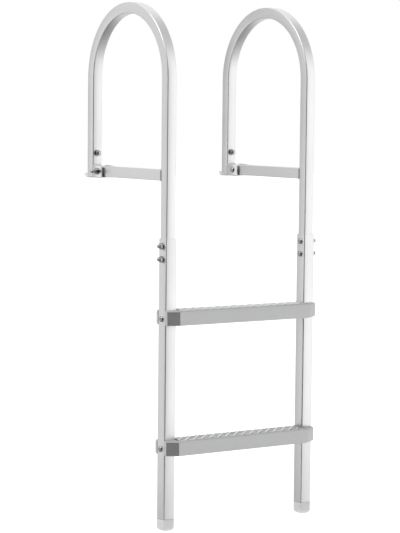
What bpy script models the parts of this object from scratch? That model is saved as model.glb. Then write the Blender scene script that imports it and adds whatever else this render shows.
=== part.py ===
"""Boat boarding ladder: two arched handrails on deck brackets, and two treads between bolted lower rails.

The frame: X runs across the ladder, -Y is the climber's side and +Y the deck's, +Z is up.
The origin lies on the deck, under the middle of the ladder, level with the centre line of the front rails.
All lengths are in metres.
"""
import bmesh
import bpy
from math import cos, pi, sin
from mathutils import Matrix, Vector

# ---------------------------------------------------------------- driving dimensions
RAIL_SPACING = 0.393        # between the centre lines of the left and right rails
ARCH_DEPTH = 0.325          # between the centre lines of a handrail's front and rear legs
ARCH_TOP = 0.413            # top of the handrail above the deck
HANDRAIL_TUBE = 0.0254      # square tube of the handrails and crossbars
HANDRAIL_WALL = 0.0016
HANDRAIL_CORNER = 0.0025
HANDRAIL_FOOT = -0.200      # lower end of the handrail's front leg, inside the lower rail
LOWER_TUBE = 0.030          # square tube of the lower rails, which sleeve over the handrails
LOWER_CORNER = 0.003
LOWER_TOP = -0.128          # upper end of the lower rails
FOOT_BOTTOM = -0.803        # lowest point of the foot caps
FOOT_CAP_HEIGHT = 0.028
FOOT_CAP_ROUND = 0.009
PLUG_DEPTH = 0.018          # how far a cap or plug reaches into its tube
PLUG_PLATE = 0.003
FIT_GAP = 0.0003            # between pieces that touch

TREAD_SPACING = 0.300
UPPER_TREAD_BOLT = -0.312   # height of the bolts of the upper tread
TREAD_ABOVE_BOLT = 0.0205
TREAD_BELOW_BOLT = 0.0135
TREAD_BEHIND_RAIL = 0.007
TREAD_AHEAD_OF_RAIL = 0.023
TREAD_WALL = 0.0035
TREAD_TOP_WALL = 0.004
TREAD_END_BOSS = 0.010
TREAD_REAR_ROUND = 0.0065
TREAD_FRONT_ROUND = 0.0035
CORNER_ACROSS = 0.0265      # the cut front corner, along X
CORNER_BACK = 0.0155        # the cut front corner, along Y
CORNER_CAP_THICKNESS = 0.003
CORNER_CAP_DROP = 0.0035    # the cap's upper edge lies this far below the tread's top
CORNER_CAP_INSET = 0.0013   # tread metal left at each upright edge of the cap

BRACKET_PLATE = 0.003
EAR_STANDOFF = 0.0025       # between a bracket ear and the side of the crossbar
EAR_LENGTH = 0.043
EAR_TO_LEG = 0.0075         # between the ear's rear edge and the front face of the rear leg
EAR_TOP = 0.030
EAR_ROUND = 0.005
LIP_START = 0.002           # between the rear face of the leg and the lip's bend
LIP_RUN = 0.010
LIP_RISE = 0.0085
BRACKET_BOLT_TO_LEG = 0.032
DECK_HOLE = 0.0065
DECK_HOLE_PITCH = 0.026

BOLT = 0.008
BOLT_HEAD = 0.0135
BOLT_HEAD_HEIGHT = 0.0055
NUT_FLATS = 0.013
NUT_HEIGHT = 0.0068
WASHER = 0.016
WASHER_THICKNESS = 0.0016
THREAD_END = 0.004          # thread that shows past a nut
BRACKET_THREAD_END = 0.010
SLEEVE_BOLT_FROM_TOP = 0.017
SLEEVE_BOLT_PITCH = 0.030
LEG_BOLT_ABOVE_BAR = 0.030

# ---------------------------------------------------------------- worked out from them
HALF_SPACING = RAIL_SPACING / 2
HALF_TUBE = HANDRAIL_TUBE / 2
HALF_LOWER = LOWER_TUBE / 2
BAR_BOTTOM = BRACKET_PLATE + FIT_GAP
BAR_MIDDLE = BAR_BOTTOM + HALF_TUBE
BAR_TOP = BAR_BOTTOM + HANDRAIL_TUBE
ARCH_RADIUS = ARCH_DEPTH / 2
ARCH_SPRING = ARCH_TOP - HALF_TUBE - ARCH_RADIUS
REAR_LEG_END = BAR_BOTTOM + PLUG_PLATE + FIT_GAP
LOWER_INNER = HANDRAIL_TUBE + 2 * FIT_GAP
RAIL_CUT = FOOT_BOTTOM + FOOT_CAP_HEIGHT + FIT_GAP
SLEEVE_BOLT_TOP = LOWER_TOP - SLEEVE_BOLT_FROM_TOP
SLEEVE_BOLTS = {"top": SLEEVE_BOLT_TOP, "second": SLEEVE_BOLT_TOP - SLEEVE_BOLT_PITCH}
TREAD_BOLTS = {"upper": UPPER_TREAD_BOLT, "lower": UPPER_TREAD_BOLT - TREAD_SPACING}
LEG_BOLT = BAR_TOP + LEG_BOLT_ABOVE_BAR
LEG_FRONT = ARCH_DEPTH - HALF_TUBE
BRACKET_BOLT_Y = LEG_FRONT - BRACKET_BOLT_TO_LEG
EAR_REAR = LEG_FRONT - EAR_TO_LEG
EAR_FRONT = EAR_REAR - EAR_LENGTH
EAR_INSIDE = HALF_TUBE + EAR_STANDOFF
EAR_OUTSIDE = EAR_INSIDE + BRACKET_PLATE
TREAD_HALF_LENGTH = HALF_SPACING + HALF_LOWER
TREAD_REAR = HALF_LOWER + TREAD_BEHIND_RAIL
TREAD_FRONT = HALF_LOWER + TREAD_AHEAD_OF_RAIL
NOTCH_WALL = HALF_SPACING - HALF_LOWER - FIT_GAP
CHANNEL_HALF_LENGTH = NOTCH_WALL - TREAD_END_BOSS
HOLE_RADIUS = BOLT / 2 + FIT_GAP
CAP_HALF_WIDTH = Vector((CORNER_ACROSS, CORNER_BACK)).length / 2 - CORNER_CAP_INSET
CAP_HEIGHT = TREAD_ABOVE_BOLT + TREAD_BELOW_BOLT - CORNER_CAP_DROP
SIDES = {"left": -1, "right": 1}


# ---------------------------------------------------------------- scene, materials, objects
def clear_scene():
    for obj in list(bpy.data.objects):
        bpy.data.objects.remove(obj, do_unlink=True)


def material(name, colour, roughness, metallic):
    mat = bpy.data.materials.new(name)
    mat.use_nodes = True
    shader = mat.node_tree.nodes["Principled BSDF"]
    shader.inputs["Base Color"].default_value = (*colour, 1.0)
    shader.inputs["Roughness"].default_value = roughness
    shader.inputs["Metallic"].default_value = metallic
    return mat


def add_object(name, bm, mat):
    """Turns a bmesh into a named object with its own material."""
    bmesh.ops.recalc_face_normals(bm, faces=bm.faces)
    mesh = bpy.data.meshes.new(name)
    bm.to_mesh(mesh)
    bm.free()
    mesh.materials.append(mat)
    obj = bpy.data.objects.new(name, mesh)
    bpy.context.collection.objects.link(obj)
    return obj


def own_material(name, look):
    return material(name + "_" + look["word"], look["colour"], look["roughness"], look["metallic"])


def shade(obj):
    obj.data.shade_smooth()
    obj.data.set_sharp_from_angle(angle=pi / 6)
    return obj


def combine(obj, bm, operation):
    """Joins a bmesh to the object, or cuts it out of the object, with an exact Boolean."""
    tool = add_object(obj.name + "_" + operation.lower(), bm, obj.data.materials[0])
    tool.hide_render = True
    tool.display_type = "WIRE"
    boolean = obj.modifiers.new(operation.lower(), "BOOLEAN")
    boolean.operation = operation
    boolean.solver = "EXACT"
    boolean.object = tool
    return obj


def cut(obj, bm):
    return combine(obj, bm, "DIFFERENCE")


ALUMINIUM = {"word": "anodised_aluminium", "colour": (0.83, 0.84, 0.85), "roughness": 0.35, "metallic": 1.0}
TREAD_GREY = {"word": "grey_aluminium", "colour": (0.42, 0.43, 0.44), "roughness": 0.5, "metallic": 0.3}
STAINLESS = {"word": "stainless_steel", "colour": (0.62, 0.62, 0.62), "roughness": 0.2, "metallic": 1.0}
DARK_PLASTIC = {"word": "dark_plastic", "colour": (0.13, 0.14, 0.15), "roughness": 0.6, "metallic": 0.0}
PALE_PLASTIC = {"word": "pale_plastic", "colour": (0.66, 0.68, 0.70), "roughness": 0.5, "metallic": 0.0}


# ---------------------------------------------------------------- shapes
def rounded_square(width, radius, steps=2):
    """Corner points of a square with round corners, anticlockwise from the right side."""
    inner = width / 2 - radius
    points = []
    for quarter in range(4):
        middle = quarter * pi / 2 + pi / 4
        centre = Vector((cos(middle), sin(middle))) * inner * 2 ** 0.5
        for step in range(steps + 1):
            angle = quarter * pi / 2 + step * pi / 2 / steps
            points.append(centre + Vector((cos(angle), sin(angle))) * radius)
    return points


def ring(bm, matrix, outline):
    """The outline's points as vertices, placed by the matrix in its XY plane."""
    return [bm.verts.new(matrix @ Vector((p.x, p.y, 0))) for p in outline]


def skin(bm, rings):
    """Joins each ring of vertices to the next with a band of faces."""
    for first, second in zip(rings, rings[1:]):
        for i in range(len(first)):
            bm.faces.new((first[i - 1], first[i], second[i], second[i - 1]))


def close_ends(bm, rings):
    """Fills the first and the last ring."""
    for end in (rings[0], rings[-1]):
        bm.faces.new(end)


def swept_tube(stations, width, corner, wall):
    """A square tube, open at its ends, through the stations, which are matrices across its path."""
    bm = bmesh.new()
    sides = []
    for size, radius in ((width, corner), (width - 2 * wall, max(corner - wall, 0.0006))):
        outline = rounded_square(size, radius)
        rings = [ring(bm, matrix, outline) for matrix in stations]
        skin(bm, rings)
        sides.append(rings)
    for end in (0, -1):
        skin(bm, [sides[0][end], sides[1][end]])
    return bm


def straight_tube(start, end, width, corner, wall):
    """A square tube between two points; its flat sides face along X."""
    direction = (end - start).normalized()
    across = Vector((1, 0, 0))
    basis = Matrix((across, direction.cross(across), direction)).transposed().to_4x4()
    stations = [Matrix.Translation(point) @ basis for point in (start, end)]
    return swept_tube(stations, width, corner, wall)


def add_box(bm, low, high):
    """Adds a box between two corners and returns its vertices."""
    size = [b - a for a, b in zip(low, high)]
    middle = [(a + b) / 2 for a, b in zip(low, high)]
    matrix = Matrix.Translation(middle) @ Matrix.Diagonal((*size, 1))
    return bmesh.ops.create_cube(bm, size=1, matrix=matrix)["verts"]


def along(axis, centre):
    """The matrix that turns +Z to the named axis and puts the origin at the centre."""
    turn = {"x": Matrix.Rotation(pi / 2, 4, "Y"), "-x": Matrix.Rotation(-pi / 2, 4, "Y"),
            "y": Matrix.Rotation(-pi / 2, 4, "X"), "-y": Matrix.Rotation(pi / 2, 4, "X"),
            "z": Matrix.Identity(4)}
    return Matrix.Translation(centre) @ turn[axis]


def add_cylinder(bm, matrix, radius, start, end, segments=20):
    """Adds a cylinder on the matrix's Z axis, from start to end."""
    middle = matrix @ Matrix.Translation((0, 0, (start + end) / 2))
    bmesh.ops.create_cone(bm, cap_ends=True, segments=segments, radius1=radius, radius2=radius,
                          depth=end - start, matrix=middle)


def circle(radius, segments):
    turns = [i * 2 * pi / segments for i in range(segments)]
    return [Vector((cos(turn), sin(turn))) * radius for turn in turns]


def turned(bm, matrix, profile, segments):
    """Adds a turned solid: the profile's (radius, height) points, spun about the matrix's Z axis."""
    rings = [ring(bm, matrix @ Matrix.Translation((0, 0, height)), circle(radius, segments))
             for radius, height in profile]
    skin(bm, rings)
    close_ends(bm, rings)


def prism(points, travel):
    """The solid that a flat face, given by its corner points, sweeps along the travel vector."""
    bm = bmesh.new()
    base = bm.faces.new([bm.verts.new(point) for point in points])
    grown = bmesh.ops.extrude_face_region(bm, geom=[base])
    moved = [v for v in grown["geom"] if isinstance(v, bmesh.types.BMVert)]
    bmesh.ops.translate(bm, vec=travel, verts=moved)
    return bm


def bevel_edges(bm, chosen, width, segments):
    edges = [edge for edge in bm.edges if chosen(edge)]
    bmesh.ops.bevel(bm, geom=edges, offset=width, offset_type="OFFSET", segments=segments,
                    profile=0.5, affect="EDGES", clamp_overlap=True)


def edge_middle(edge):
    return (edge.verts[0].co + edge.verts[1].co) / 2


# ---------------------------------------------------------------- rails
def handrail(side, x, steps=22):
    """The bent tube: rear leg, half-round arch and front leg, with its bolt holes."""
    stations = [Matrix.Translation((x, ARCH_DEPTH, REAR_LEG_END))]
    for step in range(steps + 1):
        angle = pi * step / steps
        reach = Vector((0, cos(angle), sin(angle))) * ARCH_RADIUS
        centre = Vector((x, ARCH_RADIUS, ARCH_SPRING)) + reach
        stations.append(Matrix.Translation(centre) @ Matrix.Rotation(angle, 4, "X"))
    stations.append(Matrix.Translation((x, 0, HANDRAIL_FOOT)) @ Matrix.Rotation(pi, 4, "X"))
    name = side + "_handrail"
    bm = swept_tube(stations, HANDRAIL_TUBE, HANDRAIL_CORNER, HANDRAIL_WALL)
    obj = add_object(name, bm, own_material(name, ALUMINIUM))
    holes = bmesh.new()
    for height in SLEEVE_BOLTS.values():
        add_cylinder(holes, along("x", (x, 0, height)), HOLE_RADIUS, -LOWER_TUBE, LOWER_TUBE)
    add_cylinder(holes, along("y", (x, ARCH_DEPTH, LEG_BOLT)), HOLE_RADIUS, -LOWER_TUBE, LOWER_TUBE)
    return shade(cut(obj, holes))


def crossbar(side, x):
    """The level tube between the two legs of a handrail."""
    name = side + "_crossbar"
    start = Vector((x, HALF_TUBE + FIT_GAP, BAR_MIDDLE))
    end = Vector((x, LEG_FRONT - FIT_GAP, BAR_MIDDLE))
    bm = straight_tube(start, end, HANDRAIL_TUBE, HANDRAIL_CORNER, HANDRAIL_WALL)
    obj = add_object(name, bm, own_material(name, ALUMINIUM))
    hole = bmesh.new()
    add_cylinder(hole, along("x", (x, BRACKET_BOLT_Y, BAR_MIDDLE)), HOLE_RADIUS, -LOWER_TUBE, LOWER_TUBE)
    return shade(cut(obj, hole))


def lower_rail(side, x):
    """The larger tube that sleeves over the handrail's front leg and carries the treads."""
    name = side + "_lower_rail"
    wall = (LOWER_TUBE - LOWER_INNER) / 2
    ends = Vector((x, 0, RAIL_CUT)), Vector((x, 0, LOWER_TOP))
    bm = straight_tube(*ends, LOWER_TUBE, LOWER_CORNER, wall)
    obj = add_object(name, bm, own_material(name, ALUMINIUM))
    holes = bmesh.new()
    for height in (*SLEEVE_BOLTS.values(), *TREAD_BOLTS.values()):
        add_cylinder(holes, along("x", (x, 0, height)), HOLE_RADIUS, -LOWER_TUBE, LOWER_TUBE)
    return shade(cut(obj, holes))


def plug(x, y, plate, width, corner, socket):
    """A cap on a tube's end, with a spigot inside the tube; plate is its (bottom, top)."""
    bm = bmesh.new()
    section = rounded_square(width, corner)
    spigot = rounded_square(socket - 2 * FIT_GAP, 0.001)
    levels = [(section, plate[0]), (section, plate[1]), (spigot, plate[1]), (spigot, plate[1] + PLUG_DEPTH)]
    rings = [ring(bm, Matrix.Translation((x, y, z)), outline) for outline, z in levels]
    skin(bm, rings)
    close_ends(bm, rings)
    return bm


def foot_cap(side, x):
    """The rounded cap that closes the bottom of a lower rail."""
    name = side + "_foot_cap"
    plate = (FOOT_BOTTOM, FOOT_BOTTOM + FOOT_CAP_HEIGHT)
    bm = plug(x, 0, plate, LOWER_TUBE, LOWER_CORNER, LOWER_INNER)
    bevel_edges(bm, lambda e: all(v.co.z < FOOT_BOTTOM + 1e-5 for v in e.verts), FOOT_CAP_ROUND, 4)
    return shade(add_object(name, bm, own_material(name, PALE_PLASTIC)))


def leg_plug(side, x):
    """The flat plug under a rear leg, which rests on the bracket."""
    name = side + "_leg_plug"
    plate = (BAR_BOTTOM, BAR_BOTTOM + PLUG_PLATE)
    socket = HANDRAIL_TUBE - 2 * HANDRAIL_WALL
    bm = plug(x, ARCH_DEPTH, plate, HANDRAIL_TUBE, HANDRAIL_CORNER, socket)
    return shade(add_object(name, bm, own_material(name, PALE_PLASTIC)))


# ---------------------------------------------------------------- treads
def corner_cap_matrix(bolt_height):
    """The frame of the left cut corner: X along the cut, +Z out of it, origin at its middle."""
    start = Vector((-TREAD_HALF_LENGTH, CORNER_BACK - TREAD_FRONT, 0))
    end = Vector((-TREAD_HALF_LENGTH + CORNER_ACROSS, -TREAD_FRONT, 0))
    run = (end - start).normalized()
    up = Vector((0, 0, 1))
    basis = Matrix((run, up, run.cross(up))).transposed().to_4x4()
    top = bolt_height + TREAD_ABOVE_BOLT - CORNER_CAP_DROP
    middle = (start + end) / 2
    middle.z = (top + bolt_height - TREAD_BELOW_BOLT) / 2
    return Matrix.Translation(middle) @ basis


def tread(level, bolt_height):
    """A tread: an inverted channel with solid ends that are notched around the lower rails."""
    low = bolt_height - TREAD_BELOW_BOLT
    high = bolt_height + TREAD_ABOVE_BOLT
    half = TREAD_HALF_LENGTH
    cut_start, shoulder = half - CORNER_ACROSS, CORNER_BACK - TREAD_FRONT
    outline = [(-half, TREAD_REAR), (-half, shoulder), (-cut_start, -TREAD_FRONT),
               (cut_start, -TREAD_FRONT), (half, shoulder), (half, TREAD_REAR)]
    bm = prism([(x, y, low) for x, y in outline], (0, 0, high - low))

    def long_rear_edge(edge):
        return edge_middle(edge).y > TREAD_REAR - 1e-5 and abs(edge_middle(edge).x) < 1e-5

    def top_front_edge(edge):
        return edge_middle(edge).y < shoulder - 1e-5 and edge_middle(edge).z > high - 1e-5

    bevel_edges(bm, long_rear_edge, TREAD_REAR_ROUND, 4)
    bevel_edges(bm, top_front_edge, TREAD_FRONT_ROUND, 3)
    obj = add_object(level + "_tread", bm, own_material(level + "_tread", TREAD_GREY))

    hollow = bmesh.new()
    for sign in SIDES.values():
        inner, outer = sorted((sign * NOTCH_WALL, sign * (half + 0.01)))
        notch = HALF_LOWER + FIT_GAP
        add_box(hollow, (inner, -notch, low - 0.01), (outer, notch, high + 0.01))
    add_box(hollow, (-CHANNEL_HALF_LENGTH, TREAD_WALL - TREAD_FRONT, low - 0.01),
            (CHANNEL_HALF_LENGTH, TREAD_REAR - TREAD_WALL, high - TREAD_TOP_WALL))
    cut(obj, hollow)

    recess = bmesh.new()
    reach = CAP_HALF_WIDTH + FIT_GAP
    box = add_box(recess, (-reach, -CAP_HEIGHT, -CORNER_CAP_THICKNESS - FIT_GAP),
                  (reach, CAP_HEIGHT / 2 + FIT_GAP, CORNER_CAP_THICKNESS))
    bmesh.ops.transform(recess, matrix=corner_cap_matrix(bolt_height), verts=box)
    cut(obj, recess)

    holes = bmesh.new()
    for sign in SIDES.values():
        centre = (sign * (NOTCH_WALL - TREAD_END_BOSS / 2), 0, bolt_height)
        add_cylinder(holes, along("x", centre), HOLE_RADIUS, -TREAD_END_BOSS, TREAD_END_BOSS)
    return shade(cut(obj, holes))


def corner_cap(level, bolt_height):
    """The dark square insert in the cut left front corner of a tread."""
    name = level + "_tread_corner_cap"
    bm = bmesh.new()
    box = add_box(bm, (-CAP_HALF_WIDTH, -CAP_HEIGHT / 2, -CORNER_CAP_THICKNESS),
                  (CAP_HALF_WIDTH, CAP_HEIGHT / 2, 0))
    bmesh.ops.transform(bm, matrix=corner_cap_matrix(bolt_height), verts=box)
    return shade(add_object(name, bm, own_material(name, DARK_PLASTIC)))


# ---------------------------------------------------------------- deck brackets
def bracket(side, x):
    """A folded plate: two ears beside the crossbar, a base on the deck, and a flared lip behind the leg."""
    name = side + "_bracket"
    section = [(-EAR_OUTSIDE, 0), (EAR_OUTSIDE, 0), (EAR_OUTSIDE, EAR_TOP), (EAR_INSIDE, EAR_TOP),
               (EAR_INSIDE, BRACKET_PLATE), (-EAR_INSIDE, BRACKET_PLATE), (-EAR_INSIDE, EAR_TOP),
               (-EAR_OUTSIDE, EAR_TOP)]
    bm = prism([(x + u, EAR_FRONT, z) for u, z in section], (0, EAR_LENGTH, 0))

    def ear_corner(edge):
        along_x = abs(edge.verts[0].co.y - edge.verts[1].co.y) < 1e-5
        return along_x and edge_middle(edge).z > EAR_TOP - 1e-5

    bevel_edges(bm, ear_corner, EAR_ROUND, 4)
    obj = add_object(name, bm, own_material(name, STAINLESS))

    base_middle = EAR_REAR - EAR_LENGTH / 2
    bend = ARCH_DEPTH + HALF_TUBE + LIP_START
    skew = Vector((LIP_RUN, LIP_RISE)).normalized() * BRACKET_PLATE
    profile = [(base_middle, 0), (bend + BRACKET_PLATE / 2, 0),
               (bend + LIP_RUN + skew.y / 2, LIP_RISE), (bend + LIP_RUN - skew.y / 2, LIP_RISE + skew.x),
               (bend, BRACKET_PLATE), (base_middle, BRACKET_PLATE)]
    tongue = prism([(x - HALF_TUBE, y, z) for y, z in profile], (HANDRAIL_TUBE, 0, 0))
    combine(obj, tongue, "UNION")

    holes = bmesh.new()
    bolt_axis = along("x", (x, BRACKET_BOLT_Y, BAR_MIDDLE))
    add_cylinder(holes, bolt_axis, HOLE_RADIUS, -LOWER_TUBE, LOWER_TUBE)
    for offset in (-0.5, 0.5):
        centre = (x, base_middle + offset * DECK_HOLE_PITCH, 0)
        add_cylinder(holes, along("z", centre), DECK_HOLE / 2, -BRACKET_PLATE, 2 * BRACKET_PLATE)
    return shade(cut(obj, holes))


# ---------------------------------------------------------------- fasteners
def hexagon(flats, segments):
    """A hexagon's outline with as many points as a round hole's; segments is a multiple of 12."""
    points = []
    for i in range(segments):
        angle = i * 2 * pi / segments
        off_flat = (angle + pi / 6) % (pi / 3) - pi / 6
        points.append(Vector((cos(angle), sin(angle))) * (flats / 2 / cos(off_flat)))
    return points


def add_hollow(bm, matrix, layers):
    """Adds a solid with a hole through it: (outline, height) layers that go round the section."""
    rings = [ring(bm, matrix @ Matrix.Translation((0, 0, height)), outline) for outline, height in layers]
    skin(bm, rings + rings[:1])


def add_washer(bm, matrix, start, thickness, segments=14):
    outer, hole = circle(WASHER / 2, segments), circle(HOLE_RADIUS, segments)
    end = start + thickness
    add_hollow(bm, matrix, [(outer, start), (outer, end), (hole, end), (hole, start)])


def add_nut(bm, matrix, start, segments=12):
    """A hexagon nut with a round locking collar."""
    flats = hexagon(NUT_FLATS, segments)
    collar = circle(NUT_FLATS * 0.45, segments)
    hole = circle(HOLE_RADIUS, segments)
    shoulder = start + NUT_HEIGHT * 0.7
    end = start + NUT_HEIGHT
    add_hollow(bm, matrix, [(flats, start), (flats, shoulder), (collar, end), (hole, end), (hole, start)])


def add_bolt(bm, matrix, head_base, shank_end, segments=16):
    """A bolt with a domed head; its shank runs along +Z."""
    dome = [(BOLT_HEAD / 2 * sin(a), head_base - BOLT_HEAD_HEIGHT * (0.3 + 0.7 * cos(a)))
            for a in (pi / 9, pi / 4, pi * 3 / 8, pi / 2)]
    shank = [(BOLT_HEAD / 2, head_base), (BOLT / 2, head_base), (BOLT / 2, shank_end)]
    turned(bm, matrix, dome + shank, segments)


def fastener(name, axis, point, grip, thread_end=THREAD_END):
    """A bolt, its washer and its nut, each its own piece.

    The point lies on the face under the bolt's head, and the axis leads from there to the nut.
    """
    matrix = along(axis, point)
    nut_start = grip + WASHER_THICKNESS + 2 * FIT_GAP
    bolt, nut, washer = bmesh.new(), bmesh.new(), bmesh.new()
    add_bolt(bolt, matrix, -FIT_GAP, nut_start + NUT_HEIGHT + thread_end)
    add_nut(nut, matrix, nut_start)
    add_washer(washer, matrix, grip + FIT_GAP, WASHER_THICKNESS)
    for kind, bm in (("bolt", bolt), ("nut", nut), ("washer", washer)):
        node = name + "_" + kind
        shade(add_object(node, bm, own_material(node, STAINLESS)))


def spacer(name, x, start):
    """A plastic ring on a bracket bolt, between an ear and the crossbar."""
    bm = bmesh.new()
    add_washer(bm, along("x", (x, BRACKET_BOLT_Y, BAR_MIDDLE)), start, EAR_STANDOFF - 2 * FIT_GAP)
    shade(add_object(name, bm, own_material(name, PALE_PLASTIC)))


def side_fasteners(side, sign, x):
    """All the bolted joints of one side of the ladder."""
    inward, outward = ("x", "-x") if sign < 0 else ("-x", "x")
    inner_face, outer_face = x - sign * HALF_LOWER, x + sign * HALF_LOWER
    for place, height in SLEEVE_BOLTS.items():
        fastener(side + "_" + place + "_sleeve", outward, (inner_face, 0, height), LOWER_TUBE)
    tread_grip = abs(outer_face) - CHANNEL_HALF_LENGTH
    for level, height in TREAD_BOLTS.items():
        fastener(side + "_" + level + "_tread", inward, (outer_face, 0, height), tread_grip)
    leg_back = ARCH_DEPTH + HALF_TUBE
    fastener(side + "_leg", "-y", (x, leg_back, LEG_BOLT), HANDRAIL_TUBE)
    ear_face = x - sign * EAR_OUTSIDE
    fastener(side + "_bracket", outward, (ear_face, BRACKET_BOLT_Y, BAR_MIDDLE), 2 * EAR_OUTSIDE,
             BRACKET_THREAD_END)
    faces = (-EAR_INSIDE + FIT_GAP, HALF_TUBE + FIT_GAP)
    names = ("outer", "inner") if sign < 0 else ("inner", "outer")
    for place, start in zip(names, faces):
        spacer(side + "_" + place + "_bracket_spacer", x, start)


# ---------------------------------------------------------------- assembly
def build():
    clear_scene()
    for side, sign in SIDES.items():
        x = sign * HALF_SPACING
        handrail(side, x)
        crossbar(side, x)
        lower_rail(side, x)
        foot_cap(side, x)
        leg_plug(side, x)
        bracket(side, x)
        side_fasteners(side, sign, x)
    for level, height in TREAD_BOLTS.items():
        tread(level, height)
        corner_cap(level, height)


build()
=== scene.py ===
# %% [markdown]
# # A boat boarding ladder
# The ladder hangs on a deck by two steel brackets. Its handrails are bent from square aluminium tube, its
# lower rails are a larger square tube that sleeves over them, and two grey treads are bolted between the
# rails. The measured model is loaded first and stays as it is. Each piece is then remade over it with soft
# edges, because a real edge is never perfectly sharp and it is the edge that catches the light.

# %% Load the measured ladder
from math import cos, pi, radians, sin

import bmesh
import bpy
from mathutils import Matrix, Vector


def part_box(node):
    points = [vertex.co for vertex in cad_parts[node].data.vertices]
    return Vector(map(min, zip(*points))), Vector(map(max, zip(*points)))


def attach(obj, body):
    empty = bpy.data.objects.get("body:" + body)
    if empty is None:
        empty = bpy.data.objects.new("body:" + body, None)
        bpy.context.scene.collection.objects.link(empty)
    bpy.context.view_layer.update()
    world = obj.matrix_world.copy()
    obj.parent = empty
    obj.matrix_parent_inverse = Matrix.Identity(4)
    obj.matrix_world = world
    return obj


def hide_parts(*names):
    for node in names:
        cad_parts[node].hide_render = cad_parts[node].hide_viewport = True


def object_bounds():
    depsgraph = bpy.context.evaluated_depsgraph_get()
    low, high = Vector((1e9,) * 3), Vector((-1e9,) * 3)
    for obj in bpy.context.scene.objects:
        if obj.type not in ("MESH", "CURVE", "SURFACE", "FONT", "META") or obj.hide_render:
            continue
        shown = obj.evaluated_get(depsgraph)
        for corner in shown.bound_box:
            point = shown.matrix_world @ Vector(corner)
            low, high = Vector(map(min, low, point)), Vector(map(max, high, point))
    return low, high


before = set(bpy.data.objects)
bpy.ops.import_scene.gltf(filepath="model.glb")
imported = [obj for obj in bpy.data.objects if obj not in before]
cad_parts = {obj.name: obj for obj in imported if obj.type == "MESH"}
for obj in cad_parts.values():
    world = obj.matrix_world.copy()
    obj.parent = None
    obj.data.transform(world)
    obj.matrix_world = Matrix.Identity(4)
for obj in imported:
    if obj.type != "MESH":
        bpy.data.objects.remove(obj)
cad_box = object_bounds()
print("the ladder measures", [round(high - low, 4) for low, high in zip(*cad_box)], "m")

# %% [markdown]
# All sizes below are read from the measured model's own boxes, so a piece always lands where it belongs.
# Only what the measured model leaves out, such as the radius of a softened edge, is a value of its own.

# %% Sizes read from the model
RAIL_LOW, RAIL_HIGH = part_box("right_lower_rail")
LOOP_LOW, LOOP_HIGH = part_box("right_handrail")
BAR_LOW, BAR_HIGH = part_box("right_crossbar")
RAIL_X = (RAIL_LOW.x + RAIL_HIGH.x) / 2
LOWER_TUBE = RAIL_HIGH.x - RAIL_LOW.x
TUBE = BAR_HIGH.x - BAR_LOW.x
FRONT_Y = (RAIL_LOW.y + RAIL_HIGH.y) / 2
REAR_Y = LOOP_HIGH.y - TUBE / 2
ARCH_RADIUS = (REAR_Y - FRONT_Y) / 2
ARCH_MIDDLE = (REAR_Y + FRONT_Y) / 2
ARCH_SPRING = LOOP_HIGH.z - TUBE / 2 - ARCH_RADIUS
PLUG_PLATE = 0.003
FIT_GAP = 0.0003
LEG_END = BAR_LOW.z + PLUG_PLATE + FIT_GAP
SIDES = {"left": -1, "right": 1}
print("tubes", round(TUBE, 4), "and", round(LOWER_TUBE, 4), "m, arch radius", round(ARCH_RADIUS, 4), "m")

# %% [markdown]
# ## Working by hand, in code
# Every piece starts as a primitive, and is shaped in edit mode by the same operators that a modeller clicks.
# An operator works on whatever is selected, so the helpers first clear the selection, and then pick
# vertices, edges or faces by where they are.

# %% Helpers for edit mode
NEAR = 1e-5
CUT_PAST = 0.01


def to_object_mode():
    """Leaves edit mode, if it is on."""
    if bpy.context.mode != "OBJECT":
        bpy.ops.object.mode_set(mode="OBJECT")


def begin(adder, name, **options):
    """Adds a primitive at its place and opens it in edit mode, with nothing else selected."""
    to_object_mode()
    bpy.ops.object.select_all(action="DESELECT")
    adder(**options)
    piece = bpy.context.object
    piece.name = name
    piece.data.name = name
    bpy.ops.object.transform_apply(location=True, rotation=True, scale=True)
    bpy.ops.object.mode_set(mode="EDIT")
    bpy.ops.mesh.select_mode(type="FACE")
    bpy.ops.mesh.select_all(action="SELECT")
    return piece


def middle(item):
    """The middle of a vertex, an edge or a face."""
    corners = [item] if isinstance(item, bmesh.types.BMVert) else list(item.verts)
    return sum((corner.co for corner in corners), Vector()) / len(corners)


def pick(piece, kind, test):
    """Selects only the vertices, edges or faces that pass the test."""
    bpy.ops.mesh.select_mode(type=kind)
    bpy.ops.mesh.select_all(action="DESELECT")
    mesh = bmesh.from_edit_mesh(piece.data)
    items = {"VERT": mesh.verts, "EDGE": mesh.edges, "FACE": mesh.faces}[kind]
    for item in [item for item in items if test(item)]:
        item.select_set(True)
    bmesh.update_edit_mesh(piece.data)


def extrude(offset):
    """Extrudes the selection by an offset."""
    bpy.ops.mesh.extrude_region_move(TRANSFORM_OT_translate={"value": tuple(offset)})


def scale_section(factor, centre):
    """Scales the selected section about a point on its own plane."""
    bpy.ops.transform.resize(value=(factor, factor, 1), center_override=tuple(centre))


def use_modifier(piece, kind, **settings):
    """Adds a modifier, sets it and applies it."""
    bpy.ops.object.mode_set(mode="OBJECT")
    modifier = piece.modifiers.new(kind.lower(), kind)
    for name, value in settings.items():
        setattr(modifier, name, value)
    bpy.context.view_layer.objects.active = piece
    bpy.ops.object.modifier_apply(modifier=modifier.name)


def carve(piece, tool, operation="DIFFERENCE"):
    """Cuts the tool out of the piece, or joins it on, and removes the tool."""
    use_modifier(piece, "BOOLEAN", operation=operation, solver="EXACT", object=tool)
    bpy.data.objects.remove(tool, do_unlink=True)


def soften(piece, width, segments=2, angle=40):
    """Rounds every edge that is sharper than the angle."""
    use_modifier(piece, "BEVEL", width=width, segments=segments, limit_method="ANGLE",
                 angle_limit=radians(angle), use_clamp_overlap=True, miter_outer="MITER_ARC")


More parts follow.
